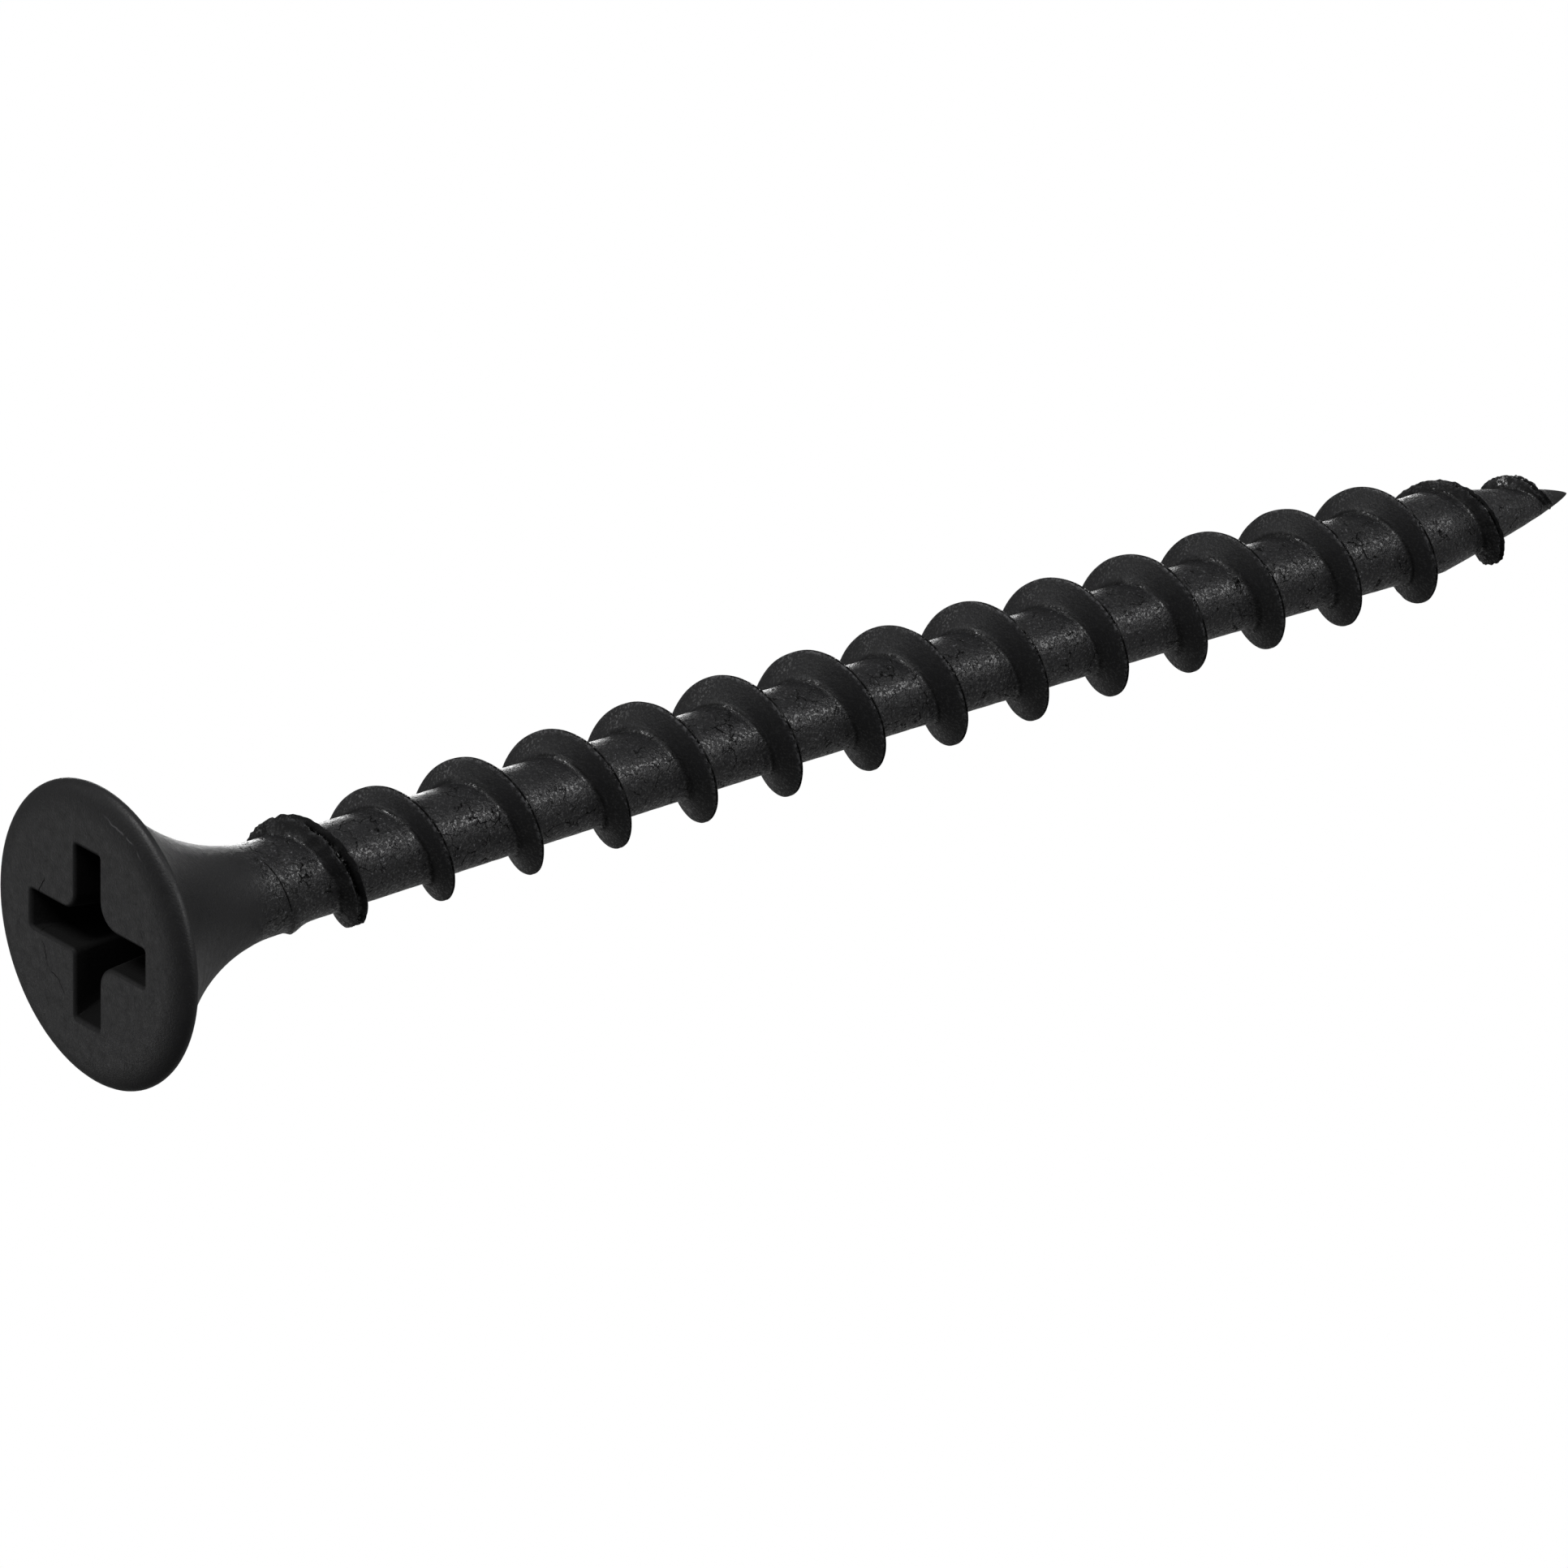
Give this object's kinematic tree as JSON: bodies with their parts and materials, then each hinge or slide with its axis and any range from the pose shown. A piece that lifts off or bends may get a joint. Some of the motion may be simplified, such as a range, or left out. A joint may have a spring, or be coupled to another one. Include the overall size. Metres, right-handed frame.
{
  "type": "wood screw",
  "caption": "Bugle-head screw with a cross recess, a coarse sharp single-start thread and a needle point, for fixing board or timber to timber.",
  "frame": {"origin": "middle of the head's flat top face, on the screw's axis", "axes": "+Z out of the head along the screw's axis, so the point is towards -Z; X and Y run along the wings of the cross recess"},
  "size_m": [0.0078, 0.0078, 0.0501],
  "materials": {
    "phosphated_steel": "matt black phosphate conversion coat on hardened steel"
  },
  "bodies": {
    "root": {"screw": "phosphated_steel"}
  },
  "joints": []
}
